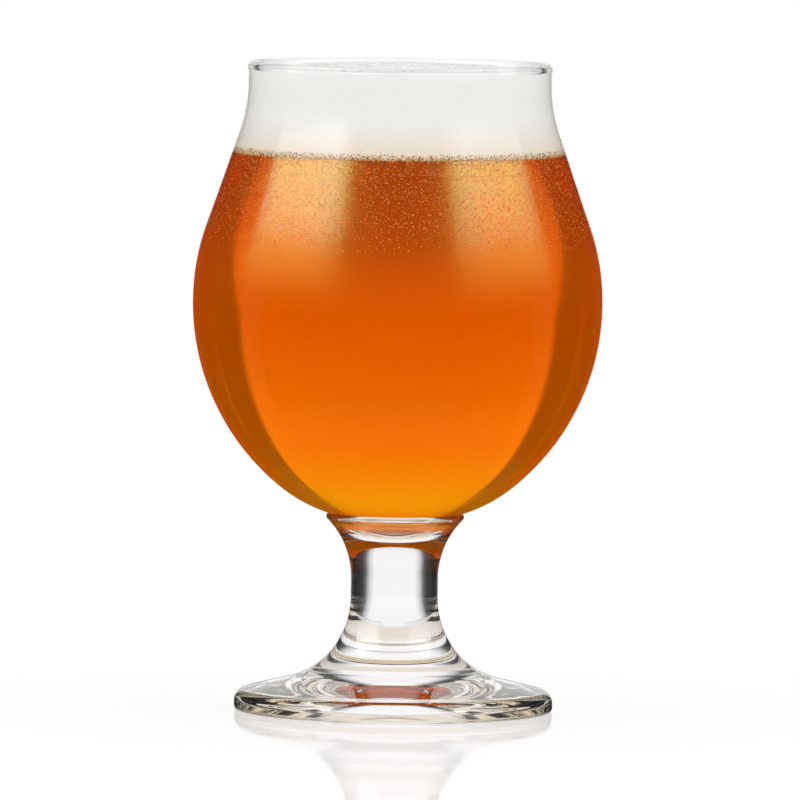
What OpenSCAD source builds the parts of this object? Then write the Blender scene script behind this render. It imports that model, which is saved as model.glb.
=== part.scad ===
// Stemmed beer goblet: a tulip bowl on a short thick stem and a round foot, filled with beer under a head of foam.
// Millimetres. The foot stands on z = 0 and the axis of the goblet is z.
// Every outline is made of arcs that pass smoothly into each other, turned about the axis.

/* [Foot] */
// Outer diameter of the foot
foot_d = 73.8; // [64:0.2:90]
// Height of the upright part of the foot's rim, with the corner under it
rim_h = 1.8; // [1.2:0.1:3]
// Radius of the shoulder from the rim up to the cone
shoulder_r = 3; // [1.5:0.1:4]
// Radius of the corner under the rim
corner_r = 0.8; // [0.3:0.1:1.2]
// Slope of the foot's conical top, in degrees
foot_slope = 14; // [8:0.5:16]
// Diameter of the shallow hollow under the foot
recess_d = 58; // [40:0.5:62]
// Depth of that hollow at the axis
recess_h = 1.6; // [0.8:0.1:2.5]

/* [Stem] */
// Diameter of the stem at its waist
waist_d = 20.2; // [14:0.2:24]
// Height of the straight part of the waist
waist_h = 4.8; // [0.5:0.1:8]
// Radius of the curve from the waist down into the foot
base_flare_r = 19.4; // [16:0.1:26]
// Radius of the curve from the waist up to the stem's top edge
top_flare_r = 19; // [15:0.1:26]
// Diameter of the stem's rounded top edge, under the bowl
top_d = 31.9; // [28:0.1:38]
// Radius of that edge
top_edge_r = 1; // [0.5:0.1:1.6]
// How far the edge rounds over before it meets the bowl, in degrees above its widest place
top_edge_turn = 50; // [20:1:70]
// Diameter of the fused joint between stem and foot
foot_joint_d = 39; // [30:0.5:44]

/* [Bowl] */
// Height of the bowl from its joint to the lip
bowl_h = 104.4; // [90:0.2:125]
// Outer diameter of the bowl at its widest
belly_d = 94.8; // [86:0.2:104]
// Height of the widest point above the joint
belly_h = 48.4; // [44:0.1:54]
// Outer diameter of the neck under the lip
neck_d = 70.2; // [60:0.2:80]
// Height of the straight part of the neck with the lip
lip_h = 4.6; // [3:0.1:8]
// How much steeper the shoulder leans than a straight line from belly to neck
shoulder_lean = 1.4; // [1.2:0.02:1.6]
// Part of the shoulder's curve that belongs to the belly, the rest to the neck
belly_part = 0.61; // [0.4:0.01:0.8]

/* [Glass] */
// Thickness of the glass at the neck
neck_wall = 2; // [1.4:0.1:3]
// Thickness of the glass at the belly
belly_wall = 2.4; // [1.6:0.1:4]
// Thickness of the bowl's round bottom on the axis
floor_wall = 2.2; // [1.6:0.1:4]
// How deep the bowl's round bottom sits in the top of the stem
seat_h = 5.7; // [4.6:0.1:6.4]
// Turn of the inner wall, in degrees, where it passes into the round floor
floor_turn = 74; // [67:1:76]
// How far the rounded lip stands out from the wall
lip_bead = 0.2; // [0.1:0.05:0.5]

/* [Drink] */
// Depth of the foam head at the wall
foam_h = 20; // [8:0.2:30]
// Distance from the lip down to the edge of the foam
head_gap = 1.6; // [1.4:0.1:12]
// Rise of the foam's crown above its edge
foam_crown = 1.4; // [0.5:0.1:1.6]

/* [Hidden] */
$fn = 180;

// Foot: an upright rim with a rounded shoulder, which the cone leaves tangentially
foot_r = foot_d / 2;
shoulder_x = foot_r - shoulder_r;
cone_x = shoulder_x + shoulder_r * sin(foot_slope);
cone_z = rim_h + shoulder_r * cos(foot_slope);
function cone_at(r) = cone_z + (cone_x - r) * tan(foot_slope);
recess_r = recess_d / 2;
recess_arc = (recess_r * recess_r + recess_h * recess_h) / (2 * recess_h);

// Stem: the lower curve is tangent to the cone and to the waist
waist_r = waist_d / 2;
flare_x = waist_r + base_flare_r * (1 - sin(foot_slope));
flare_z = cone_at(flare_x);
waist_z = flare_z + base_flare_r * cos(foot_slope);
foot_joint_r = foot_joint_d / 2;
foot_joint_z = waist_z - sqrt(pow(base_flare_r, 2) - pow(waist_r + base_flare_r - foot_joint_r, 2));

// Stem: the upper curve is tangent to the waist and to the rounded top edge
top_z = waist_z + waist_h;
top_x = waist_r + top_flare_r;
edge_x = top_d / 2 - top_edge_r;
edge_z = top_z + sqrt(pow(top_flare_r + top_edge_r, 2) - pow(top_x - edge_x, 2));
edge_share = top_flare_r / (top_flare_r + top_edge_r);
edge_low_x = top_x - (top_x - edge_x) * edge_share;
edge_low_z = top_z + (edge_z - top_z) * edge_share;

// Joint of stem and bowl: they meet in a groove over the edge, and inside it the bowl's round bottom has its seat
joint_r = edge_x + top_edge_r * cos(top_edge_turn);
joint_z = edge_z + top_edge_r * sin(top_edge_turn);
seat_z = joint_z - seat_h;
seat_r = (joint_r * joint_r + seat_h * seat_h) / (2 * seat_h);

// Bowl: heights above the table, and the radius of the curve from the belly down to the joint
belly_r = belly_d / 2;
neck_r = neck_d / 2;
belly_z = joint_z + belly_h;
under_r = (pow(belly_r - joint_r, 2) + belly_h * belly_h) / (2 * (belly_r - joint_r));
rim_z = joint_z + bowl_h;
neck_z = rim_z - lip_h;

// Inside of the bowl
inner_belly_r = belly_r - belly_wall;
inner_neck_r = neck_r - neck_wall;
floor_z = seat_z + floor_wall;
floor_drop = belly_z - floor_z;
oval = 1 - sin(floor_turn) - cos(floor_turn);
side_r = (inner_belly_r * (1 - sin(floor_turn)) - floor_drop * cos(floor_turn)) / oval;
round_r = (floor_drop * (1 - cos(floor_turn)) - inner_belly_r * sin(floor_turn)) / oval;
turn_x = round_r * cos(floor_turn);
turn_z = floor_z + round_r * (1 - sin(floor_turn));
lip_r = neck_wall / 2 + lip_bead;
lip_z = rim_z - lip_r;

// Levels of the drink
foam_z = rim_z - head_gap;
beer_z = foam_z - foam_h;
crown_r = (inner_neck_r * inner_neck_r + foam_crown * foam_crown) / (2 * foam_crown);

// Lean of the shoulder, and the two arcs that lead into it from the belly and from the neck
function lean(wide, narrow) = shoulder_lean * atan((wide - narrow) / (neck_z - belly_z));
function arcs(wide, narrow) =
    (neck_z - belly_z - (wide - narrow) / tan(lean(wide, narrow))) / tan(lean(wide, narrow) / 2);

// Half outline between two heights, from the axis out to a radius
module band(r, low, high) {
    polygon([[0, low], [r, low], [r, high], [0, high]]);
}

// Half outline of the bowl from its widest point up to a height in the neck
module upper_half(wide, narrow, top) {
    a = lean(wide, narrow);
    belly_arc = arcs(wide, narrow) * belly_part;
    neck_arc = arcs(wide, narrow) * (1 - belly_part);
    low_x = wide - belly_arc * (1 - cos(a));
    low_z = belly_z + belly_arc * sin(a);
    high_x = narrow + neck_arc * (1 - cos(a));
    high_z = neck_z - neck_arc * sin(a);
    intersection() {
        translate([wide - belly_arc, belly_z]) circle(belly_arc);
        band(wide, belly_z, low_z);
    }
    polygon([[0, low_z], [low_x, low_z], [high_x, high_z], [0, high_z]]);
    difference() {
        band(high_x, high_z, neck_z);
        translate([narrow + neck_arc, neck_z]) circle(neck_arc);
    }
    band(narrow, neck_z, top);
}

// Half outline of the bowl's round bottom, below its joint with the stem
module seat_half() {
    intersection() {
        translate([0, seat_z + seat_r]) circle(seat_r);
        band(joint_r, seat_z, joint_z);
    }
}

// Half outline of the outside of the bowl, up to the middle of the lip
module outside_half() {
    seat_half();
    intersection() {
        translate([belly_r - under_r, belly_z]) circle(under_r);
        band(belly_r, joint_z, belly_z);
    }
    upper_half(belly_r, neck_r, lip_z);
}

// Half outline of the room inside the bowl, up to a height
module inside_half(top) {
    intersection() {
        translate([0, floor_z + round_r]) circle(round_r);
        band(turn_x, seat_z, turn_z);
    }
    intersection() {
        translate([inner_belly_r - side_r, belly_z]) circle(side_r);
        band(inner_belly_r, turn_z, belly_z);
    }
    upper_half(inner_belly_r, inner_neck_r, top);
}

// Round bead of the lip, seen in section
module lip_round() {
    translate([neck_r - neck_wall / 2, lip_z]) circle(lip_r);
}

// Solid foot with an upright rim, a boss that runs up to the stem and a hollow underneath
module foot() {
    color("lightcyan", 0.5) rotate_extrude() difference() {
        union() {
            polygon([
                [0, 0], [foot_r - corner_r, 0], [foot_r - corner_r, corner_r], [foot_r, corner_r], [foot_r, rim_h],
                [shoulder_x, rim_h], [cone_x, cone_z], [flare_x, flare_z], [0, flare_z]
            ]);
            intersection() {
                translate([foot_r - corner_r, corner_r]) circle(corner_r);
                band(foot_r, 0, corner_r);
            }
            intersection() {
                translate([shoulder_x, rim_h]) circle(shoulder_r);
                band(foot_r, rim_h, cone_z);
            }
            difference() {
                band(flare_x, flare_z, foot_joint_z);
                translate([waist_r + base_flare_r, waist_z]) circle(base_flare_r);
            }
        }
        translate([0, recess_h - recess_arc]) circle(recess_arc);
    }
}

// Solid stem between its two fused joints, with a rounded top edge and a round seat for the bowl
module stem() {
    color("paleturquoise", 0.5) rotate_extrude() difference() {
        union() {
            difference() {
                band(max(foot_joint_r, edge_low_x), foot_joint_z, edge_low_z);
                translate([waist_r + base_flare_r, waist_z]) circle(base_flare_r);
                translate([waist_r, waist_z]) square([foot_r, waist_h]);
                translate([top_x, top_z]) circle(top_flare_r);
            }
            band(edge_x, edge_low_z, joint_z);
            intersection() {
                translate([edge_x, edge_z]) circle(top_edge_r);
                band(edge_x + top_edge_r, edge_low_z, joint_z);
            }
        }
        seat_half();
    }
}

// Blown bowl, thin at the neck and thick at the bottom, with a full round lip
module bowl() {
    color("azure", 0.4) rotate_extrude() union() {
        difference() {
            outside_half();
            inside_half(rim_z);
        }
        lip_round();
    }
}

// The drink up to the underside of the foam
module beer() {
    color("darkorange", 0.8) rotate_extrude() intersection() {
        inside_half(rim_z);
        band(belly_r, seat_z, beer_z);
    }
}

// Head of foam with a low crown
module foam_head() {
    color("ivory") rotate_extrude() difference() {
        intersection() {
            inside_half(rim_z);
            band(belly_r, beer_z, rim_z);
            translate([0, foam_z + foam_crown - crown_r]) circle(crown_r);
        }
        lip_round();
    }
}

foot();
stem();
bowl();
beer();
foam_head();
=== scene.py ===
import math
from types import SimpleNamespace

import bpy
import bmesh
from mathutils import Matrix, Vector


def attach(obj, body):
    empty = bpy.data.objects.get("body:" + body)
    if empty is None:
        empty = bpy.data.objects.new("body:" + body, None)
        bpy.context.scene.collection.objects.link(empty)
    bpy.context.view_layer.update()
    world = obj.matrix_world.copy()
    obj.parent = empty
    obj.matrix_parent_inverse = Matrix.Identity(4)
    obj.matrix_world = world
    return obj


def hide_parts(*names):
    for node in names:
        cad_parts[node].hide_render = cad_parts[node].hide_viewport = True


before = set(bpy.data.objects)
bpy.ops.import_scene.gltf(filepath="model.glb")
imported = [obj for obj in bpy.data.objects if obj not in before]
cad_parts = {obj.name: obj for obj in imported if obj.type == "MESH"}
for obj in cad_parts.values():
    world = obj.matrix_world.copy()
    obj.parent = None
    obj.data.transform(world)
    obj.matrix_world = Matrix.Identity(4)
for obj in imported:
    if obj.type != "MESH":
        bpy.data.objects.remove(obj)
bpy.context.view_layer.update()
scene = bpy.context.scene
scene.view_settings.view_transform = "Standard"
mm = 0.001
white = (1, 1, 1, 1)
black = (0, 0, 0, 1)
smoothStep = {"interpolation_type": "SMOOTHSTEP"}


def rgb(hexText):  # sRGB hex to linear
    parts = [int(hexText[i:i + 2], 16) / 255 for i in (1, 3, 5)]
    flat = [c / 12.92 if c <= 0.04045 else ((c + 0.055) / 1.055) ** 2.4 for c in parts]
    return (*flat, 1.0)


def grey(level):
    return (level, level, level, 1)


# A link comes from a socket, or from a node that stands for its first output; in3=1.0 sets input 3 by number
def addNode(tree, kind, links=None, settings=None, stops=None, **sockets):
    node = tree.nodes.new(kind)
    for key, value in (settings or {}).items():
        setattr(node, key, value)
    for i, (place, shade) in enumerate(stops or []):  # a colour ramp's stops, in rising order
        ramp = node.color_ramp.elements
        stop = ramp[i] if i < len(ramp) else ramp.new(1.0)
        stop.position = place
        stop.color = shade if isinstance(shade, tuple) else grey(shade)
    for key, value in sockets.items():
        byNumber = key.startswith("in") and key[2:].isdigit()
        node.inputs[int(key[2:]) if byNumber else key.replace("_", " ")].default_value = value
    for key, source in (links or {}).items():
        fromNode = isinstance(source, bpy.types.Node)
        tree.links.new(source.outputs[0] if fromNode else source, node.inputs[key])
    return node


def setCurve(node, points):  # leads a float curve through points in rising order
    curve = node.mapping.curves[0].points
    curve[0].location, curve[1].location = points[0], points[-1]
    for x, y in points[1:-1]:
        curve.new(x, y)
    node.mapping.update()


def newMaterial(name):
    material = bpy.data.materials.new(name)
    material.use_nodes = True
    material.node_tree.nodes.clear()
    return material, material.node_tree


# Goblet sizes in millimetres and degrees, as the solids have them. Only the bowl differs: it has two arcs
# under the belly, and a thinner floor for the way light bends at the joint
gobletSize = {
    "footRadius": 36.9, "rimHeight": 1.8, "rimShoulder": 3.0, "rimCorner": 0.8, "footSlope": 14,
    "recessRadius": 29, "recessDepth": 1.6,
    "waistRadius": 10.1, "waistHeight": 4.8, "baseFlare": 19.4, "topFlare": 19.0,
    "topRadius": 15.95, "topEdge": 1.0, "topEdgeTurn": 50, "footJoint": 19.5,
    "bowlHeight": 104.4, "bellyRadius": 47.4, "underRadius": 54.9, "underTurn": 51, "bottomRadius": 35,
    "neckRadius": 35.1, "lipHeight": 4.6, "shoulderLean": 1.4, "bellyPart": 0.61,
    "neckWall": 2.0, "bellyWall": 2.4, "floorWall": 1.4, "seatDepth": 5.7, "floorTurn": 74, "lipBead": 0.2,
    "foamDepth": 20.0, "headGap": 1.6, "foamCrown": 1.4, "drinkClear": 0.03, "foamClear": 0.02,
}
# Steps along an outline in millimetres, short on small rounds and long on flat stretches, and steps around
stepSize = {"arc": 0.9, "flare": 0.45, "straight": 1.35, "flat": 1.5, "cone": 1.0, "crown": 0.8,
            "rimShoulder": 0.25, "lip": 0.2, "rimCorner": 0.15, "topEdge": 0.1, "around": 192}
# How near counts as the same place, in millimetres; the round seat is the loosest because its faces are flat
closeness = {"point": 1e-4, "cut": 1e-6, "merge": 0.002, "joint": 0.01, "seat": 0.05}
facingUp = 0.99


def arcPoints(cx, cz, radius, start, end, step):
    count = max(2, math.ceil(abs(math.radians(end - start)) * radius / step))
    angles = [math.radians(start + (end - start) * i / count) for i in range(count + 1)]
    return [(cx + radius * math.cos(a), cz + radius * math.sin(a)) for a in angles]


def linePoints(a, b, step):
    count = max(1, math.ceil(math.dist(a, b) / step))
    return [(a[0] + (b[0] - a[0]) * i / count, a[1] + (b[1] - a[1]) * i / count) for i in range(count + 1)]


def joined(*runs):
    points = []
    for run in runs:
        for p in run:
            if not points or math.dist(points[-1], p) > closeness["point"]:
                points.append(p)
    return points


def gobletHeights(g):  # heights, centres and joints that follow from the sizes
    h = SimpleNamespace()
    slope = math.radians(g["footSlope"])
    h.shoulderX = g["footRadius"] - g["rimShoulder"]
    h.coneX = h.shoulderX + g["rimShoulder"] * math.sin(slope)
    h.coneZ = g["rimHeight"] + g["rimShoulder"] * math.cos(slope)
    h.flareX = g["waistRadius"] + g["baseFlare"] * (1 - math.sin(slope))
    h.flareZ = h.coneZ + (h.coneX - h.flareX) * math.tan(slope)
    h.waist = h.flareZ + g["baseFlare"] * math.cos(slope)
    h.flareCx = g["waistRadius"] + g["baseFlare"]
    h.footJoint = h.waist - math.sqrt(g["baseFlare"] ** 2 - (h.flareCx - g["footJoint"]) ** 2)
    h.waistTop = h.waist + g["waistHeight"]
    h.topCx = g["waistRadius"] + g["topFlare"]
    h.edgeX = g["topRadius"] - g["topEdge"]
    h.edge = h.waistTop + math.sqrt((g["topFlare"] + g["topEdge"]) ** 2 - (h.topCx - h.edgeX) ** 2)
    h.jointX = h.edgeX + g["topEdge"] * math.cos(math.radians(g["topEdgeTurn"]))
    h.joint = h.edge + g["topEdge"] * math.sin(math.radians(g["topEdgeTurn"]))
    h.seat = h.joint - g["seatDepth"]
    spare = g["underRadius"] - g["bottomRadius"]
    under = math.radians(g["underTurn"])
    h.bottomX = g["bellyRadius"] - g["underRadius"] + spare * math.cos(under)
    h.bottom = h.joint + math.sqrt(g["bottomRadius"] ** 2 - (h.jointX - h.bottomX) ** 2)
    h.belly = h.bottom + spare * math.sin(under)
    h.rim = h.joint + g["bowlHeight"]
    h.neck = h.rim - g["lipHeight"]
    h.neckInner = g["neckRadius"] - g["neckWall"]
    h.floor = h.seat + g["floorWall"]
    h.foam = h.rim - g["headGap"]
    h.beer = h.foam - g["foamDepth"]
    return h


size = gobletSize
high = gobletHeights(size)


def upperRun(wide, narrow):  # belly arc, straight shoulder and neck arc, from the belly up
    rise, run = high.neck - high.belly, wide - narrow
    lean = size["shoulderLean"] * math.atan(run / rise)
    both = (rise - run / math.tan(lean)) / math.tan(lean / 2)
    bellyArc, neckArc = both * size["bellyPart"], both * (1 - size["bellyPart"])
    turn = math.degrees(lean)
    low = arcPoints(wide - bellyArc, high.belly, bellyArc, 0, turn, stepSize["arc"])
    top = arcPoints(narrow + neckArc, high.neck, neckArc, 180 + turn, 180, stepSize["arc"])
    return joined(low, linePoints(low[-1], top[0], stepSize["straight"]), top)


def innerRun(inset):  # inside of the bowl from the floor up to the neck
    wide = size["bellyRadius"] - size["bellyWall"] - inset
    floor = high.floor + inset
    drop = high.belly - floor
    turn = size["floorTurn"]
    sine, cosine = math.sin(math.radians(turn)), math.cos(math.radians(turn))
    oval = 1 - sine - cosine
    side = (wide * (1 - sine) - drop * cosine) / oval
    cap = (drop * (1 - cosine) - wide * sine) / oval
    bottom = arcPoints(0, floor + cap, cap, -90, -turn, stepSize["arc"])
    bottom[0] = (0.0, floor)
    wall = arcPoints(wide - side, high.belly, side, -turn, 0, stepSize["arc"])
    return joined(bottom, wall, upperRun(wide, high.neckInner - inset))


def cutAt(points, z):  # the part of an upward run below a height
    kept = [p for p in points if p[1] < z - closeness["cut"]]
    after = points[len(kept)]
    last = kept[-1]
    t = (z - last[1]) / (after[1] - last[1])
    return kept + [(last[0] + (after[0] - last[0]) * t, z)]


def above(points, z):
    return [cutAt(points, z)[-1]] + [p for p in points if p[1] > z + closeness["cut"]]


def newTree(name, inputs):  # a Geometry Nodes tree with named inputs
    tree = bpy.data.node_groups.new(name, "GeometryNodeTree")
    for label, kind in inputs.items():
        tree.interface.new_socket(label, in_out="INPUT", socket_type="NodeSocket" + kind)
    tree.interface.new_socket("Geometry", in_out="OUTPUT", socket_type="NodeSocketGeometry")
    return tree, addNode(tree, "NodeGroupInput").outputs


def endTree(tree, start, geometry):  # real faces in the given material
    real = addNode(tree, "GeometryNodeRealizeInstances", {"Geometry": geometry})
    painted = addNode(tree, "GeometryNodeSetMaterial", {"Geometry": real, "Material": start["Material"]})
    addNode(tree, "NodeGroupOutput", {0: painted})


def turnTree():  # turns a half outline, given as points (r, 0, z), about the z axis
    inputs = {"Geometry": "Geometry", "Steps around": "Int", "Material": "Material"}
    tree, start = newTree("turnedOutline", inputs)
    measured = addNode(tree, "GeometryNodeAttributeDomainSize", {"Geometry": start["Geometry"]})
    count = measured.outputs["Point Count"]
    around = addNode(tree, "ShaderNodeMath", {0: start["Steps around"]}, {"operation": "ADD"}, in1=1.0)
    grid = addNode(tree, "GeometryNodeMeshGrid", {"Vertices X": around, "Vertices Y": count},
                   Size_X=1.0, Size_Y=1.0)
    place = addNode(tree, "GeometryNodeInputPosition")
    split = addNode(tree, "ShaderNodeSeparateXYZ", {0: place})
    angle = addNode(tree, "ShaderNodeMath", {0: split.outputs["X"]}, {"operation": "MULTIPLY"}, in1=math.tau)
    share = addNode(tree, "ShaderNodeMath", {0: split.outputs["Y"]}, {"operation": "ADD"}, in1=0.5)
    last = addNode(tree, "ShaderNodeMath", {0: count}, {"operation": "SUBTRACT"}, in1=1.0)
    rowShare = addNode(tree, "ShaderNodeMath", {0: share, 1: last}, {"operation": "MULTIPLY"})
    row = addNode(tree, "FunctionNodeFloatToInt", {0: rowShare}, {"rounding_mode": "ROUND"})
    outline = addNode(tree, "GeometryNodeSampleIndex",
                      {"Geometry": start["Geometry"], "Index": row, "Value": place},
                      {"data_type": "FLOAT_VECTOR", "domain": "POINT"})
    point = addNode(tree, "ShaderNodeSeparateXYZ", {0: outline})
    cosine = addNode(tree, "ShaderNodeMath", {0: angle}, {"operation": "COSINE"})
    sine = addNode(tree, "ShaderNodeMath", {0: angle}, {"operation": "SINE"})
    x = addNode(tree, "ShaderNodeMath", {0: point.outputs["X"], 1: cosine}, {"operation": "MULTIPLY"})
    y = addNode(tree, "ShaderNodeMath", {0: point.outputs["X"], 1: sine}, {"operation": "MULTIPLY"})
    turned = addNode(tree, "ShaderNodeCombineXYZ", {"X": x, "Y": y, "Z": point.outputs["Z"]})
    moved = addNode(tree, "GeometryNodeSetPosition", {"Geometry": grid, "Position": turned})
    closed = addNode(tree, "GeometryNodeMergeByDistance", {"Geometry": moved},
                     Distance=closeness["merge"] * mm)
    endTree(tree, start, closed)
    return tree


def socketId(tree, name):
    return next(i.identifier for i in tree.interface.items_tree if i.name == name and i.in_out == "INPUT")


def applyTree(obj, tree, values):  # runs a tree on an object and leaves a plain mesh
    modifier = obj.modifiers.new("nodes", "NODES")
    modifier.node_group = tree
    for key, value in values.items():
        modifier[socketId(tree, key)] = value
    obj.update_tag()
    bpy.context.view_layer.update()
    made = bpy.data.meshes.new_from_object(obj.evaluated_get(bpy.context.evaluated_depsgraph_get()))
    obj.modifiers.remove(modifier)
    old = obj.data
    obj.data = made
    bpy.data.meshes.remove(old)
    made.name = obj.name


turning = turnTree()


def turnedPiece(name, outline, material, crease=30):
    mesh = bpy.data.meshes.new(name)
    verts = [(r * mm, 0, z * mm) for r, z in outline]
    mesh.from_pydata(verts, [(i, i + 1) for i in range(len(verts) - 1)], [])
    obj = bpy.data.objects.new(name, mesh)
    scene.collection.objects.link(obj)
    applyTree(obj, turning, {"Steps around": stepSize["around"], "Material": material})
    shape = bmesh.new()
    shape.from_mesh(obj.data)
    bmesh.ops.dissolve_degenerate(shape, dist=closeness["point"] * mm, edges=shape.edges)
    bmesh.ops.recalc_face_normals(shape, faces=shape.faces)
    if shape.calc_volume(signed=True) < 0:
        bmesh.ops.reverse_faces(shape, faces=shape.faces)
    shape.to_mesh(obj.data)
    shape.free()
    for face in obj.data.polygons:
        face.use_smooth = True
    obj.data.set_sharp_from_angle(angle=math.radians(crease))
    return obj


def paintFaces(obj, material, test):  # gives the faces that pass a test another material
    obj.data.materials.append(material)
    slot = len(obj.data.materials) - 1
    for face in obj.data.polygons:
        if test(face.center / mm, face.normal):
            face.material_index = slot


# Soda-lime glass, blown and pressed: clear, bright at its edges, with faint waves where it was pressed
glassLook = {"ior": 1.51, "wetIor": 1.127, "tint": "#FEFEFF", "waveSize": 9.0, "waveDepth": 0.012,
             "reflectionFade": (6, 28)}


def blownGlass():  # under the belly its outside is hidden from the lamps, so nothing mirrors in it
    material, tree = newMaterial("sodaLimeGlass")
    place = addNode(tree, "ShaderNodeTexCoord").outputs["Object"]
    height = addNode(tree, "ShaderNodeSeparateXYZ", {0: place}).outputs["Z"]
    # painted shade: the outside's reflection is taken out below the belly and fades back in above it
    reflectionFade = addNode(tree, "ShaderNodeMapRange", {"Value": height}, smoothStep,
                     From_Min=(high.belly + glassLook["reflectionFade"][0]) * mm,
                     From_Max=(high.belly + glassLook["reflectionFade"][1]) * mm)
    shiny = addNode(tree, "ShaderNodeBsdfPrincipled", Base_Color=rgb(glassLook["tint"]), Roughness=0.0,
                    IOR=glassLook["ior"], Transmission_Weight=1.0)
    unlit = addNode(tree, "ShaderNodeBsdfRefraction", Color=rgb(glassLook["tint"]), Roughness=0.0,
                    IOR=glassLook["ior"])
    side = addNode(tree, "ShaderNodeNewGeometry")
    reflecting = addNode(tree, "ShaderNodeMath", {0: reflectionFade, 1: side.outputs["Backfacing"]},
                       {"operation": "MAXIMUM"})
    glass = addNode(tree, "ShaderNodeMixShader", {0: reflecting, 1: unlit, 2: shiny})
    addNode(tree, "ShaderNodeOutputMaterial", {"Surface": glass})
    return material


def pressedGlass():
    material, tree = newMaterial("pressedSodaLimeGlass")
    place = addNode(tree, "ShaderNodeTexCoord").outputs["Object"]
    waves = addNode(tree, "ShaderNodeTexNoise", {"Vector": place},
                    Scale=1 / (glassLook["waveSize"] * mm), Detail=1.0, Roughness=0.4)
    bump = addNode(tree, "ShaderNodeBump", {"Height": waves.outputs["Fac"]}, Strength=1.0,
                   Distance=glassLook["waveDepth"] * mm)
    glass = addNode(tree, "ShaderNodeBsdfPrincipled", {"Normal": bump}, Base_Color=rgb(glassLook["tint"]),
                    Roughness=0.0, IOR=glassLook["ior"], Transmission_Weight=1.0)
    addNode(tree, "ShaderNodeOutputMaterial", {"Surface": glass})
    return material


def wetGlass():  # where the drink wets it, the step in IOR is only glass over beer, so it hardly mirrors
    material, tree = newMaterial("wetSodaLimeGlass")
    glass = addNode(tree, "ShaderNodeBsdfPrincipled", Base_Color=white, Roughness=0.0,
                    IOR=glassLook["wetIor"], Transmission_Weight=1.0)
    addNode(tree, "ShaderNodeOutputMaterial", {"Surface": glass})
    return material


def fusedGlass():  # where two pieces of glass were fused there is no surface left to see
    material, tree = newMaterial("fusedGlassJoint")
    gone = addNode(tree, "ShaderNodeBsdfTransparent", Color=white)
    addNode(tree, "ShaderNodeOutputMaterial", {"Surface": gone})
    return material


# Amber ale: clear with a little haze; blue is gone within a few millimetres, red passes almost whole.
# Its colours go from the bowl's floor up to the foam, where fine bubbles on the glass give it a dull shine
# The ramp is partly painted: lighter and yellower near the floor as painted light, a deeper red at the foam
# as painted shade
beerLook = {
    "colours": [(0.0, "#FF8A02"), (0.04, "#FFA803"), (0.075, "#FFE604"), (0.1, "#FFE604"), (0.16, "#FFC403"),
                (0.25, "#FFA402"), (0.5, "#FD8A02"), (0.75, "#F46E02"), (0.92, "#EC5602"), (1.0, "#E64002")],
    "clear": 0.66, "reds": 1.5, "greens": 10.0, "blues": 220.0,
    "shine": "#D2FF70", "shineLevel": 0.071, "shineDepth": 36.0, "shineRoughness": 0.22}
# The shine's yellow-green tint is painted light for softbox light scattered in the haze; the dull shine
# itself comes from the bubbles
shineColour = (*[c * beerLook["shineLevel"] for c in rgb(beerLook["shine"])[:3]], 1.0)


def amberAle():
    material, tree = newMaterial("amberAle")
    place = addNode(tree, "ShaderNodeTexCoord").outputs["Object"]
    height = addNode(tree, "ShaderNodeSeparateXYZ", {0: place}).outputs["Z"]
    rise = addNode(tree, "ShaderNodeMapRange", {"Value": height}, From_Min=high.floor * mm,
                   From_Max=high.beer * mm)
    shade = addNode(tree, "ShaderNodeValToRGB", {"Fac": rise},
                    stops=[(level, rgb(colour)) for level, colour in beerLook["colours"]])
    haze = addNode(tree, "ShaderNodeBsdfPrincipled", {"Base Color": shade}, Roughness=0.0, IOR=1.0,
                   Transmission_Weight=beerLook["clear"], Specular_IOR_Level=0.0)
    nearFoam = addNode(tree, "ShaderNodeMapRange", {"Value": height},
                       From_Min=(high.beer - beerLook["shineDepth"]) * mm, From_Max=high.beer * mm)
    shining = addNode(tree, "ShaderNodeMix", {"Factor": nearFoam}, {"data_type": "RGBA"},
                      in6=black, in7=shineColour)
    shine = addNode(tree, "ShaderNodeBsdfGlossy", {"Color": shining.outputs[2]},
                    Roughness=beerLook["shineRoughness"])
    surface = addNode(tree, "ShaderNodeAddShader", {0: haze, 1: shine})
    swallow = beerLook["blues"]
    depth = addNode(tree, "ShaderNodeVolumeAbsorption", Density=swallow,
                    Color=(1 - beerLook["reds"] / swallow, 1 - beerLook["greens"] / swallow, 0.0, 1))
    addNode(tree, "ShaderNodeOutputMaterial", {"Surface": surface, "Volume": depth})
    return material


# Ale foam: fine wet bubbles that scatter all light, creamy where beer is still draining from it.
# Heights in millimetres from the beer, the crest's from the foam's edge; wet grains are drawn coarser to show
foamLook = {"white": "#F6F6F2", "cream": "#EEE2CC", "top": "#F1F1ED", "wet": "#A98238", "creamHeight": 9.0,
            "crest": (-0.6, 0.1), "wetHeight": 2.4, "grain": 0.4, "wetShare": (0.18, -0.3),
            "wetEdge": (0.42, 0.72), "bubble": 0.7, "bubbleDepth": 0.05, "bubbleBump": 0.4}


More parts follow.
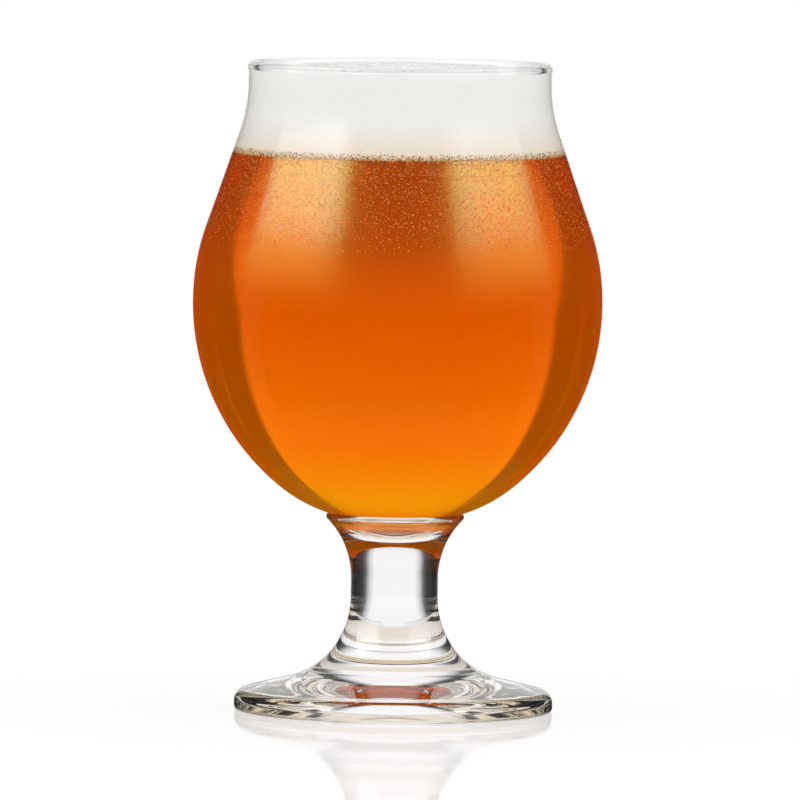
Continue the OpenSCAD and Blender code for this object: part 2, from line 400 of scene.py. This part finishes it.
def aleFoam():
    material, tree = newMaterial("aleFoam")
    place = addNode(tree, "ShaderNodeTexCoord").outputs["Object"]
    height = addNode(tree, "ShaderNodeSeparateXYZ", {0: place}).outputs["Z"]
    rise = addNode(tree, "ShaderNodeMapRange", {"Value": height}, From_Min=high.beer * mm,
                   From_Max=(high.beer + foamLook["creamHeight"]) * mm)
    creamy = addNode(tree, "ShaderNodeMix", {"Factor": rise}, {"data_type": "RGBA"},
                     in6=rgb(foamLook["cream"]), in7=rgb(foamLook["white"]))
    crest = addNode(tree, "ShaderNodeMapRange", {"Value": height},
                    From_Min=(high.foam + foamLook["crest"][0]) * mm,
                    From_Max=(high.foam + foamLook["crest"][1]) * mm)
    topped = addNode(tree, "ShaderNodeMix", {"Factor": crest, 6: creamy.outputs[2]}, {"data_type": "RGBA"},
                     in7=rgb(foamLook["top"]))
    grain = addNode(tree, "ShaderNodeTexNoise", {"Vector": place}, Scale=1 / (foamLook["grain"] * mm),
                    Detail=1.0)
    wetness = addNode(tree, "ShaderNodeMapRange", {"Value": height}, From_Min=high.beer * mm,
                      From_Max=(high.beer + foamLook["wetHeight"]) * mm,
                      To_Min=foamLook["wetShare"][0], To_Max=foamLook["wetShare"][1])
    grained = addNode(tree, "ShaderNodeMath", {0: grain.outputs["Fac"], 1: wetness}, {"operation": "ADD"})
    wet = addNode(tree, "ShaderNodeMapRange", {"Value": grained}, From_Min=foamLook["wetEdge"][0],
                  From_Max=foamLook["wetEdge"][1])
    speckled = addNode(tree, "ShaderNodeMix", {"Factor": wet, 6: topped.outputs[2]}, {"data_type": "RGBA"},
                       in7=rgb(foamLook["wet"]))
    cells = addNode(tree, "ShaderNodeTexVoronoi", {"Vector": place}, Scale=1 / (foamLook["bubble"] * mm))
    bump = addNode(tree, "ShaderNodeBump", {"Height": cells.outputs["Distance"]},
                   Strength=foamLook["bubbleBump"], Distance=foamLook["bubbleDepth"] * mm)
    scatter = addNode(tree, "ShaderNodeBsdfPrincipled", {"Base Color": speckled.outputs[2], "Normal": bump},
                      Roughness=1.0, Specular_IOR_Level=0.15)
    addNode(tree, "ShaderNodeOutputMaterial", {"Surface": scatter})
    return material


# Gas bubbles that cling to the glass, densest under the foam: pale or amber glints, some in shade near it.
# Sizes in millimetres; density gives the share of the full number by depth as a share of the reach
bubbleLook = {
    "pale": "#F4AA62", "amber": "#D86C0C", "dark": "#8E5214", "glintSize": 0.8, "glintEdge": (0.35, 0.65),
    "shadeSize": 0.7, "shadeEdge": (0.5, 0.56), "shadeSeed": 5.0, "darkDepth": 3.0,
    "radius": (0.12, 0.22), "flatness": 0.3, "sides": 6, "reach": 22.4, "rise": 1.4, "perSquareMm": 6.0,
    "density": [(0.0, 0.1), (0.06, 1.0), (0.14, 0.5), (0.5, 0.32), (0.8, 0.2), (0.94, 0.07), (1.0, 0.0)],
    "seed": 7}


def gasBubbles():
    material, tree = newMaterial("gasBubbles")
    place = addNode(tree, "ShaderNodeTexCoord").outputs["Object"]
    height = addNode(tree, "ShaderNodeSeparateXYZ", {0: place}).outputs["Z"]
    spots = addNode(tree, "ShaderNodeTexNoise", {"Vector": place}, Scale=1 / (bubbleLook["glintSize"] * mm),
                    Detail=0.0)
    glint = addNode(tree, "ShaderNodeMapRange", {"Value": spots.outputs["Fac"]},
                    From_Min=bubbleLook["glintEdge"][0], From_Max=bubbleLook["glintEdge"][1])
    lit = addNode(tree, "ShaderNodeMix", {"Factor": glint}, {"data_type": "RGBA"},
                  in6=rgb(bubbleLook["amber"]), in7=rgb(bubbleLook["pale"]))
    shaded = addNode(tree, "ShaderNodeTexNoise", {"Vector": place}, {"noise_dimensions": "4D"},
                     Scale=1 / (bubbleLook["shadeSize"] * mm), Detail=0.0, W=bubbleLook["shadeSeed"])
    inShade = addNode(tree, "ShaderNodeMapRange", {"Value": shaded.outputs["Fac"]},
                      From_Min=bubbleLook["shadeEdge"][0], From_Max=bubbleLook["shadeEdge"][1])
    nearFoam = addNode(tree, "ShaderNodeMapRange", {"Value": height},
                       From_Min=(high.beer - bubbleLook["darkDepth"]) * mm, From_Max=high.beer * mm)
    darkShare = addNode(tree, "ShaderNodeMath", {0: inShade, 1: nearFoam}, {"operation": "MULTIPLY"})
    shade = addNode(tree, "ShaderNodeMix", {"Factor": darkShare, 6: lit.outputs[2]}, {"data_type": "RGBA"},
                    in7=rgb(bubbleLook["dark"]))
    film = addNode(tree, "ShaderNodeBsdfPrincipled", {"Base Color": shade.outputs[2]}, Roughness=1.0,
                   Specular_IOR_Level=0.0)
    # the same sheen as the ale's, its tint painted light
    shine = addNode(tree, "ShaderNodeBsdfGlossy", Color=shineColour, Roughness=beerLook["shineRoughness"])
    surface = addNode(tree, "ShaderNodeAddShader", {0: film, 1: shine})
    addNode(tree, "ShaderNodeOutputMaterial", {"Surface": surface})
    return material


bowlMaterial, stemMaterial = blownGlass(), pressedGlass()
wetMaterial, jointMaterial = wetGlass(), fusedGlass()
beerMaterial, foamMaterial, bubbleMaterial = amberAle(), aleFoam(), gasBubbles()
print("materials made:", [m.name for m in bpy.data.materials])

# Foot: recess, flat ring, upright rim with a rounded shoulder, cone and the start of the flare
recess = (size["recessRadius"] ** 2 + size["recessDepth"] ** 2) / (2 * size["recessDepth"])
recessTurn = math.degrees(math.asin(size["recessRadius"] / recess))
cornerX = size["footRadius"] - size["rimCorner"]
jointTurn = 180 + math.degrees(math.asin((high.waist - high.footJoint) / size["baseFlare"]))
footRun = joined(
    arcPoints(0, size["recessDepth"] - recess, recess, 90, 90 - recessTurn, stepSize["flat"]),
    [(size["recessRadius"], 0)],
    linePoints((size["recessRadius"], 0), (cornerX, 0), stepSize["flat"]),
    arcPoints(cornerX, size["rimCorner"], size["rimCorner"], -90, 0, stepSize["rimCorner"]),
    arcPoints(high.shoulderX, size["rimHeight"], size["rimShoulder"], 0, 90 - size["footSlope"],
              stepSize["rimShoulder"]),
    linePoints((high.coneX, high.coneZ), (high.flareX, high.flareZ), stepSize["cone"]),
    arcPoints(high.flareCx, high.waist, size["baseFlare"], 270 - size["footSlope"], jointTurn,
              stepSize["arc"]),
    [(0, high.footJoint)])
footRun[0] = (0.0, size["recessDepth"])
foot = turnedPiece("footGlass", footRun, stemMaterial)
paintFaces(foot, jointMaterial,
           lambda c, n: abs(c.z - high.footJoint) < closeness["joint"] and n.z > facingUp)

# Stem: solid, flared at both ends, with a round seat for the bowl
seatRadius = (high.jointX ** 2 + size["seatDepth"] ** 2) / (2 * size["seatDepth"])
seatTurn = math.degrees(math.asin(high.jointX / seatRadius))
seatRun = arcPoints(0, high.seat + seatRadius, seatRadius, -90, seatTurn - 90, stepSize["flat"])
seatRun[0] = (0.0, high.seat)
topTurn = math.degrees(math.atan2(high.edge - high.waistTop, high.topCx - high.edgeX))
stemRun = joined(
    [(0.0, high.footJoint)],
    arcPoints(high.flareCx, high.waist, size["baseFlare"], jointTurn, 180, stepSize["arc"]),
    linePoints((size["waistRadius"], high.waist), (size["waistRadius"], high.waistTop), stepSize["arc"]),
    arcPoints(high.topCx, high.waistTop, size["topFlare"], 180, 180 - topTurn, stepSize["flare"]),
    arcPoints(high.edgeX, high.edge, size["topEdge"], -topTurn, size["topEdgeTurn"], stepSize["topEdge"]),
    seatRun[::-1])


def onSeat(c):  # on the round seat between stem and bowl
    reach = math.hypot(c.x, c.y, c.z - high.seat - seatRadius)
    return abs(reach - seatRadius) < closeness["seat"] and c.z < high.joint


stem = turnedPiece("stemGlass", stemRun, stemMaterial)
paintFaces(stem, jointMaterial, lambda c, n: abs(c.z - high.footJoint) < closeness["joint"] or onSeat(c))

# Bowl: outside up, round the lip and down the inside
bottomTurn = math.degrees(math.asin((high.bottom - high.joint) / size["bottomRadius"]))
underX = size["bellyRadius"] - size["underRadius"]
lipRadius = size["neckWall"] / 2 + size["lipBead"]
lipX = size["neckRadius"] - size["neckWall"] / 2
lipZ = high.rim - lipRadius
wallTurn = math.degrees(math.acos((size["neckWall"] / 2) / lipRadius))
wallZ = lipZ - lipRadius * math.sin(math.radians(wallTurn))
bowlRun = joined(
    seatRun,
    arcPoints(high.bottomX, high.bottom, size["bottomRadius"], -bottomTurn, -size["underTurn"],
              stepSize["arc"]),
    arcPoints(underX, high.belly, size["underRadius"], -size["underTurn"], 0, stepSize["arc"]),
    upperRun(size["bellyRadius"], size["neckRadius"]),
    linePoints((size["neckRadius"], high.neck), (size["neckRadius"], wallZ), stepSize["arc"]),
    arcPoints(lipX, lipZ, lipRadius, -wallTurn, 180 + wallTurn, stepSize["lip"]),
    linePoints((high.neckInner, wallZ), (high.neckInner, high.neck), stepSize["arc"]),
    innerRun(0)[::-1])
bowl = turnedPiece("bowlGlass", bowlRun, bowlMaterial, crease=15)


def insideWall(c, n):  # the drink's side of the bowl, up to the foam's edge
    towardsAxis = n.x * c.x + n.y * c.y < 0
    wetted = high.seat + size["floorWall"] / 2 < c.z < high.foam
    return wetted and (towardsAxis if c.z > high.belly else n.z > 0)


paintFaces(bowl, wetMaterial, insideWall)
paintFaces(bowl, jointMaterial, lambda c, n: onSeat(c) and n.z < 0)

# Beer: fills the inside up to the foam, a hair clear of the glass
drinkWall = innerRun(size["drinkClear"])
beer = turnedPiece("aleBody", cutAt(drinkWall, high.beer) + [(0.0, high.beer)], beerMaterial)

# Foam: from the beer up to a low crown
foamBase = high.beer + size["foamClear"]
foamEdge = high.neckInner - size["drinkClear"]
crown = (high.neckInner ** 2 + size["foamCrown"] ** 2) / (2 * size["foamCrown"])
crownTurn = math.degrees(math.asin(foamEdge / crown))
foamWall = [p for p in above(drinkWall, foamBase) if p[1] < high.foam]
foamTop = arcPoints(0, high.foam + size["foamCrown"] - crown, crown, 90 - crownTurn, 90, stepSize["crown"])
foamTop[-1] = (0.0, high.foam + size["foamCrown"])
foamRun = joined([(0.0, foamBase)], foamWall, linePoints(foamWall[-1], foamTop[0], stepSize["arc"]), foamTop)
foam = turnedPiece("foamHead", foamRun, foamMaterial)
print("goblet turned:", {o.name: len(o.data.polygons) for o in (foot, stem, bowl, beer, foam)})


def bubbleTree():  # flat drops scattered over a wall, fewer with depth
    tree, start = newTree("bubblesOnGlass", {
        "Geometry": "Geometry", "Per square metre": "Float", "Smallest": "Float", "Largest": "Float",
        "Flatness": "Float", "Top": "Float", "Reach": "Float", "Seed": "Int", "Material": "Material"})
    place = addNode(tree, "GeometryNodeInputPosition")
    height = addNode(tree, "ShaderNodeSeparateXYZ", {0: place}).outputs["Z"]
    depth = addNode(tree, "ShaderNodeMath", {0: start["Top"], 1: height}, {"operation": "SUBTRACT"})
    share = addNode(tree, "ShaderNodeMath", {0: depth, 1: start["Reach"]}, {"operation": "DIVIDE"})
    fewer = addNode(tree, "ShaderNodeFloatCurve", {"Value": share})
    setCurve(fewer, bubbleLook["density"])
    density = addNode(tree, "ShaderNodeMath", {0: fewer, 1: start["Per square metre"]},
                      {"operation": "MULTIPLY"})
    points = addNode(tree, "GeometryNodeDistributePointsOnFaces",
                     {"Mesh": start["Geometry"], "Density": density, "Seed": start["Seed"]})
    drop = addNode(tree, "GeometryNodeMeshCone", None, {"fill_type": "NGON"}, Vertices=bubbleLook["sides"],
                   Radius_Top=0.0, Radius_Bottom=1.0, Depth=1.0)
    rounded = addNode(tree, "GeometryNodeSetShadeSmooth", {"Geometry": drop})
    drawn = addNode(tree, "FunctionNodeRandomValue",
                    {2: start["Smallest"], 3: start["Largest"], "Seed": start["Seed"]},
                    {"data_type": "FLOAT"})
    radius = drawn.outputs[1]
    thin = addNode(tree, "ShaderNodeMath", {0: radius, 1: start["Flatness"]}, {"operation": "MULTIPLY"})
    scale = addNode(tree, "ShaderNodeCombineXYZ", {"X": radius, "Y": radius, "Z": thin})
    placed = addNode(tree, "GeometryNodeInstanceOnPoints",
                     {"Points": points.outputs["Points"], "Instance": rounded,
                      "Rotation": points.outputs["Rotation"], "Scale": scale})
    endTree(tree, start, placed)
    return tree


bubbling = bubbleTree()


def bubblesOn(name, wall, look, top, material):
    obj = turnedPiece(name, wall, material)
    applyTree(obj, bubbling, {
        "Per square metre": look["perSquareMm"] / mm ** 2, "Smallest": look["radius"][0] * mm,
        "Largest": look["radius"][1] * mm, "Flatness": look["flatness"], "Top": top * mm,
        "Reach": look["reach"] * mm, "Seed": look["seed"], "Material": material})
    print(name, len(obj.data.polygons) // (bubbleLook["sides"] + 1))
    return obj


bubbleTop = high.beer + bubbleLook["rise"]
bubbleWall = above(cutAt(drinkWall, bubbleTop), bubbleTop - bubbleLook["reach"])
bubbles = bubblesOn("aleBubbles", bubbleWall, bubbleLook, bubbleTop, bubbleMaterial)

# A few larger ones stand on the foam, flat enough to stay below the lip
crestLook = {"radius": (0.25, 0.7), "flatness": 0.27, "edgeClear": 0.8, "reach": 20, "perSquareMm": 0.3,
             "seed": 3}
crestWall = [p for p in foamTop if crestLook["edgeClear"] < p[0] < foamEdge - crestLook["edgeClear"]]
crestBubbles = bubblesOn("foamBubbles", crestWall, crestLook, high.rim, foamMaterial)

# The studio round the goblet: lit panels with dark gaps between them, by the angle from straight behind, and
# softboxes at the sides, left and right with their own strength. Depths count the walls that light has passed
studio = {
    "panels": [(0, 1.0), (19, 1.0), (25, 0.62), (30, 0.14), (36, 0.05), (55, 0.012), (75, 0.012), (80, 1.0)],
    "beerPanels": [(0, 1.0), (25, 1.0), (28, 1.12), (30, 0.06), (40.5, 0.04), (41.5, 0.2), (43, 0.2),
                   (44, 0.04), (55, 0.012), (75, 0.012), (80, 1.0)],
    "backlight": [(0, 1.0), (4, 1.1), (11, 1.28), (17, 1.55), (26, 1.7), (35, 1.8), (90, 2.0)],
    "overhead": (40, 65), "mirrorPanel": (8, 14), "frontFrom": 97, "frontDark": 0.03,
    "soft": 1.0, "softInGlass": 2.45, "wallDepth": 3.5, "beerDepth": 4.5,
    "boxes": [(78, 0.0), (80, 1.0), (132, 1.0), (146, 0.0), (168, 0.0)],
    "boxHeights": [(6, 0.0), (18, 0.1), (30, 0.75), (38, 1.0), (52, 1.0), (62, 0.0)],
    "boxStrength": (3.9, 2.2),
    "bubbleBoxes": [(78, 0.0), (80, 1.0), (140, 1.0), (146, 0.0), (168, 0.0)],
    "bubbleBoxHeights": [(0, 0.0), (4, 0.9), (12, 1.0), (58, 1.0), (66, 0.0)],
    "bubbleBoxStrength": (9.5, 8.4)}


def shares(stops, whole):
    return [(place / whole, shade) for place, shade in stops]


def awayFromBehind(tree, direction):  # 0 behind the goblet, 1 in front of it
    split = addNode(tree, "ShaderNodeSeparateXYZ", {0: direction})
    azimuth = addNode(tree, "ShaderNodeMath", {0: split.outputs["X"], 1: split.outputs["Y"]},
                      {"operation": "ARCTAN2"})
    away = addNode(tree, "ShaderNodeMath", {0: azimuth}, {"operation": "ABSOLUTE"})
    return addNode(tree, "ShaderNodeMath", {0: away}, {"operation": "DIVIDE"}, in1=math.pi)


def fading(ends, whole=1.0):  # 1 below the first end, 0 above the second
    return {"From_Min": ends[0] / whole, "From_Max": ends[1] / whole, "To_Min": 1.0, "To_Max": 0.0}


def panelLevel(tree, path, away):  # soft gradients in clear glass, crisp edges through the bowl full of beer
    soft = addNode(tree, "ShaderNodeValToRGB", {"Fac": away}, stops=shares(studio["panels"], 180))
    crisp = addNode(tree, "ShaderNodeValToRGB", {"Fac": away}, stops=shares(studio["beerPanels"], 180))
    throughBeer = addNode(tree, "ShaderNodeMath", {0: path["Transmission Depth"]},
                          {"operation": "GREATER_THAN"}, in1=studio["beerDepth"])
    both = addNode(tree, "ShaderNodeMix", {"Factor": throughBeer, 2: soft, 3: crisp}, {"data_type": "FLOAT"})
    return both, throughBeer


def frontOff(tree, path, away, level):  # light mirrored inside the glass finds the front of the studio dark
    front = addNode(tree, "ShaderNodeMath", {0: away}, {"operation": "GREATER_THAN"},
                    in1=studio["frontFrom"] / 180)
    mirrored = addNode(tree, "ShaderNodeMath", {0: front, 1: path["Glossy Depth"]},
                       {"operation": "MULTIPLY", "use_clamp": True})
    return addNode(tree, "ShaderNodeMix", {"Factor": mirrored, 2: level}, {"data_type": "FLOAT"},
                   in3=studio["frontDark"])


def softboxes(tree, name, away, tall, rightSide):
    across = addNode(tree, "ShaderNodeValToRGB", {"Fac": away}, stops=shares(studio[name + "es"], 180))
    heights = addNode(tree, "ShaderNodeValToRGB", {"Fac": tall}, stops=shares(studio[name + "Heights"], 90))
    shape = addNode(tree, "ShaderNodeMath", {0: across, 1: heights}, {"operation": "MULTIPLY"})
    left, right = studio[name + "Strength"]
    power = addNode(tree, "ShaderNodeMapRange", {"Value": rightSide}, To_Min=left, To_Max=right)
    return addNode(tree, "ShaderNodeMath", {0: shape, 1: power}, {"operation": "MULTIPLY"})


# Floor, a white acrylic sheet: slightly glossy, with a faint reflection and a shadow. Lengths in metres.
# Seen through the glass it has the studio's panels too, painted amber light from the drink close to the foot,
# and painted shade in a strip behind it
floorLook = {"size": 6.0, "airGap": 0.0001, "white": 0.3, "lift": 0.42, "gloss": 0.3, "roughness": 0.05,
             "plain": 0.9, "inGlass": 1.0, "inMirror": 0.02, "evenWithin": (0.034, 0.046),
             "mirrorRing": (0.09, 0.13), "shadeStrip": (5, 13), "amberLightReach": 0.1,
             "amber": [(0.0, "#EEE6DC"), (0.033, "#EEE4D6"), (0.038, "#E4CDA8"), (0.05, "#F2E4CC"),
                       (0.062, "#FFFFFF")],
             "inBeer": [(0.42, 0.2), (0.54, 0.3), (0.7, 0.55), (0.85, 0.7), (1.4, 0.9), (2.2, 1.0)]}
floorHalf = floorLook["size"] / 2


def whiteAcrylic():
    material, tree = newMaterial("whiteAcrylicSheet")
    path = addNode(tree, "ShaderNodeLightPath").outputs
    place = addNode(tree, "ShaderNodeTexCoord").outputs["Object"]
    away = awayFromBehind(tree, place)
    reach = addNode(tree, "ShaderNodeVectorMath", {0: place}, {"operation": "LENGTH"}).outputs["Value"]
    mirrored = addNode(tree, "ShaderNodeMath", {0: path["Glossy Depth"]}, {"operation": "MINIMUM"}, in1=1.0)
    scattered = addNode(tree, "ShaderNodeMath", {0: path["Diffuse Depth"]}, {"operation": "MINIMUM"}, in1=1.0)
    panels, throughBeer = panelLevel(tree, path, away)
    pattern = frontOff(tree, path, away, panels)

    # even close to the foot, and in a ring round it for light that was mirrored inside the glass
    ring = addNode(tree, "ShaderNodeMapRange", {"Value": reach}, smoothStep,
                   **fading(floorLook["mirrorRing"]))
    inRing = addNode(tree, "ShaderNodeMath", {0: mirrored, 1: ring}, {"operation": "MULTIPLY"})
    around = addNode(tree, "ShaderNodeMix", {"Factor": inRing, 2: pattern}, {"data_type": "FLOAT"}, in3=1.0)
    near = addNode(tree, "ShaderNodeMapRange", {"Value": reach}, smoothStep,
                   **fading(floorLook["evenWithin"]))
    level = addNode(tree, "ShaderNodeMix", {"Factor": near, 2: around}, {"data_type": "FLOAT"},
                    in3=floorLook["inGlass"])

    # through the beer a strip straight behind grows darker towards the goblet: painted shade on the floor
    far = addNode(tree, "ShaderNodeMath", {0: reach}, {"operation": "DIVIDE"}, in1=floorHalf)
    fall = addNode(tree, "ShaderNodeValToRGB", {"Fac": far}, stops=shares(floorLook["inBeer"], floorHalf))
    strip = addNode(tree, "ShaderNodeMapRange", {"Value": away}, smoothStep,
                    **fading(floorLook["shadeStrip"], 180))
    inStrip = addNode(tree, "ShaderNodeMath", {0: throughBeer, 1: strip}, {"operation": "MULTIPLY"})
    stripShaded = addNode(tree, "ShaderNodeMix", {"Factor": inStrip, 3: fall}, {"data_type": "FLOAT"}, in2=1.0)
    power = addNode(tree, "ShaderNodeMath", {0: level, 1: stripShaded}, {"operation": "MULTIPLY"})

    # painted amber light close to the foot, as the drink casts it
    tintReach = floorLook["amberLightReach"]
    nearShare = addNode(tree, "ShaderNodeMath", {0: reach}, {"operation": "DIVIDE"}, in1=tintReach)
    tints = [(distance, rgb(shade)) for distance, shade in floorLook["amber"]]
    amber = addNode(tree, "ShaderNodeValToRGB", {"Fac": nearShare}, stops=shares(tints, tintReach))
    amberLit = addNode(tree, "ShaderNodeMix", {"Factor": mirrored, 7: amber}, {"data_type": "RGBA"}, in6=white)

    inGlass = addNode(tree, "ShaderNodeEmission", {"Strength": power, "Color": amberLit.outputs[2]})
    inMirror = addNode(tree, "ShaderNodeEmission", Color=white, Strength=floorLook["inMirror"])
    plain = addNode(tree, "ShaderNodeBsdfDiffuse", Color=grey(floorLook["plain"]))
    lit = addNode(tree, "ShaderNodeBsdfDiffuse", Color=grey(floorLook["white"]))
    lift = addNode(tree, "ShaderNodeEmission", Color=white, Strength=floorLook["lift"])
    gloss = addNode(tree, "ShaderNodeBsdfGlossy", Color=grey(floorLook["gloss"]),
                    Roughness=floorLook["roughness"])
    lifted = addNode(tree, "ShaderNodeAddShader", {0: lit, 1: lift})
    shown = addNode(tree, "ShaderNodeAddShader", {0: lifted, 1: gloss})
    seen = addNode(tree, "ShaderNodeMixShader", {0: path["Is Reflection Ray"], 1: inGlass, 2: inMirror})
    bounced = addNode(tree, "ShaderNodeMixShader", {0: scattered, 1: seen, 2: plain})
    final = addNode(tree, "ShaderNodeMixShader", {0: path["Is Camera Ray"], 1: bounced, 2: shown})
    addNode(tree, "ShaderNodeOutputMaterial", {"Surface": final})
    return material


floorMesh = bpy.data.meshes.new("floor")
square = ((-1, -1), (1, -1), (1, 1), (-1, 1))
corners = [(x * floorHalf, y * floorHalf, -floorLook["airGap"]) for x, y in square]
floorMesh.from_pydata(corners, [], [(0, 1, 2, 3)])
floorMesh.materials.append(whiteAcrylic())
floor = bpy.data.objects.new("floor", floorMesh)
scene.collection.objects.link(floor)


def studioWorld():  # white for the camera, panels through glass, softboxes in mirrors, even light on the rest
    world = bpy.data.worlds.new("studio")
    world.use_nodes = True
    tree = world.node_tree
    tree.nodes.clear()
    path = addNode(tree, "ShaderNodeLightPath").outputs
    ray = addNode(tree, "ShaderNodeTexCoord").outputs["Generated"]
    split = addNode(tree, "ShaderNodeSeparateXYZ", {0: ray})
    upright = addNode(tree, "ShaderNodeMath", {0: split.outputs["Z"]}, {"operation": "ARCSINE"})
    tall = addNode(tree, "ShaderNodeMath", {0: upright}, {"operation": "DIVIDE"}, in1=math.pi / 2)
    rightSide = addNode(tree, "ShaderNodeMath", {0: split.outputs["X"]}, {"operation": "GREATER_THAN"},
                        in1=0.0)
    away = awayFromBehind(tree, ray)
    below = addNode(tree, "ShaderNodeMapRange", {"Value": tall}, smoothStep, **fading(studio["overhead"], 90))
    mirrored = addNode(tree, "ShaderNodeMath", {0: path["Glossy Depth"]}, {"operation": "MINIMUM"}, in1=1.0)
    scattered = addNode(tree, "ShaderNodeMath", {0: path["Diffuse Depth"]}, {"operation": "MINIMUM"}, in1=1.0)
    clean = addNode(tree, "ShaderNodeMath", {1: scattered}, {"operation": "SUBTRACT"}, in0=1.0)

    # through the glass: panels below an even white, brighter with height through the beer
    panels, throughBeer = panelLevel(tree, path, away)
    evened = addNode(tree, "ShaderNodeMix", {"Factor": below, 3: panels}, {"data_type": "FLOAT"}, in2=1.0)
    mostGain = studio["backlight"][-1][1]
    lamp = addNode(tree, "ShaderNodeFloatCurve", {"Value": tall})
    setCurve(lamp, [(angle / 90, gain / mostGain) for angle, gain in studio["backlight"]])
    gain = addNode(tree, "ShaderNodeMath", {0: lamp}, {"operation": "MULTIPLY"}, in1=mostGain)
    backlit = addNode(tree, "ShaderNodeMix", {"Factor": throughBeer, 3: gain}, {"data_type": "FLOAT"},
                      in2=1.0)
    panelled = addNode(tree, "ShaderNodeMath", {0: evened, 1: backlit}, {"operation": "MULTIPLY"})
    through = frontOff(tree, path, away, panelled)

    # in mirrors: the softboxes and a narrow panel straight behind
    boxes = softboxes(tree, "box", away, tall, rightSide)
    behind = addNode(tree, "ShaderNodeMapRange", {"Value": away}, smoothStep,
                     **fading(studio["mirrorPanel"], 180))
    low = addNode(tree, "ShaderNodeMath", {0: behind, 1: below}, {"operation": "MULTIPLY"})
    mirror = addNode(tree, "ShaderNodeMath", {0: boxes, 1: low}, {"operation": "ADD"})
    inGlass = addNode(tree, "ShaderNodeMix", {"Factor": path["Is Reflection Ray"], 2: through, 3: mirror},
                      {"data_type": "FLOAT"})
    even = addNode(tree, "ShaderNodeMapRange", {"Value": path["Is Transmission Ray"]},
                   To_Min=studio["soft"], To_Max=studio["softInGlass"])
    soft = addNode(tree, "ShaderNodeMix", {"Factor": scattered, 2: inGlass, 3: even}, {"data_type": "FLOAT"})
    strength = addNode(tree, "ShaderNodeMix", {"Factor": path["Is Camera Ray"], 2: soft},
                       {"data_type": "FLOAT"}, in3=1.0)
    sky = addNode(tree, "ShaderNodeBackground", {"Strength": strength}, Color=white)

    # off the bubbles and out through the wall again: light that was mirrored there and never scattered
    deep = addNode(tree, "ShaderNodeMath", {0: path["Transmission Depth"]}, {"operation": "GREATER_THAN"},
                   in1=studio["wallDepth"])
    onWall = addNode(tree, "ShaderNodeMath", {0: deep, 1: throughBeer}, {"operation": "SUBTRACT"})
    wallMirror = addNode(tree, "ShaderNodeMath", {0: onWall, 1: mirrored}, {"operation": "MULTIPLY"})
    offBubbles = addNode(tree, "ShaderNodeMath", {0: wallMirror, 1: clean}, {"operation": "MULTIPLY"})
    bubbleBoxes = softboxes(tree, "bubbleBox", away, tall, rightSide)
    onBubbles = addNode(tree, "ShaderNodeMath", {0: bubbleBoxes, 1: offBubbles}, {"operation": "MULTIPLY"})
    glow = addNode(tree, "ShaderNodeBackground", {"Strength": onBubbles}, Color=white)
    light = addNode(tree, "ShaderNodeAddShader", {0: sky, 1: glow})
    addNode(tree, "ShaderNodeOutputWorld", {"Surface": light})
    return world


scene.world = studioWorld()
print("studio lit")

# Camera, a long lens a little above the rim
cameraLook = {"distance": 2.55, "height": 0.232, "lens": 496.6, "sensor": 36.0, "aim": (0.0008, 0.0, 0.0719),
              "roll": 0.67, "clipEnd": 20}
cameraData = bpy.data.cameras.new("camera")
cameraData.lens = cameraLook["lens"]
cameraData.sensor_width = cameraLook["sensor"]
cameraData.clip_end = cameraLook["clipEnd"]
camera = bpy.data.objects.new("camera", cameraData)
scene.collection.objects.link(camera)
camera.location = (0, -cameraLook["distance"], cameraLook["height"])
gaze = (Vector(cameraLook["aim"]) - camera.location).to_track_quat("-Z", "Y").to_matrix().to_4x4()
camera.matrix_world = (Matrix.Translation(camera.location) @ gaze
                       @ Matrix.Rotation(math.radians(cameraLook["roll"]), 4, "Z"))
scene.camera = camera
scene.cycles.use_denoising = True
# Light is mirrored many times inside the thick foot before it leaves it
scene.cycles.max_bounces = 24
scene.cycles.glossy_bounces = 12
scene.cycles.transmission_bounces = 24

for piece, node, slotName in ((foot, "foot", "clear_glass"), (stem, "stem", "clear_glass"),
                              (bowl, "bowl", "clear_glass"), (beer, "beer", "amber_beer"),
                              (foam, "foam_head", "white_foam")):
    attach(piece, "root")
    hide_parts(node)
for piece in (bubbles, crestBubbles):
    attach(piece, "root")

print("pieces placed")
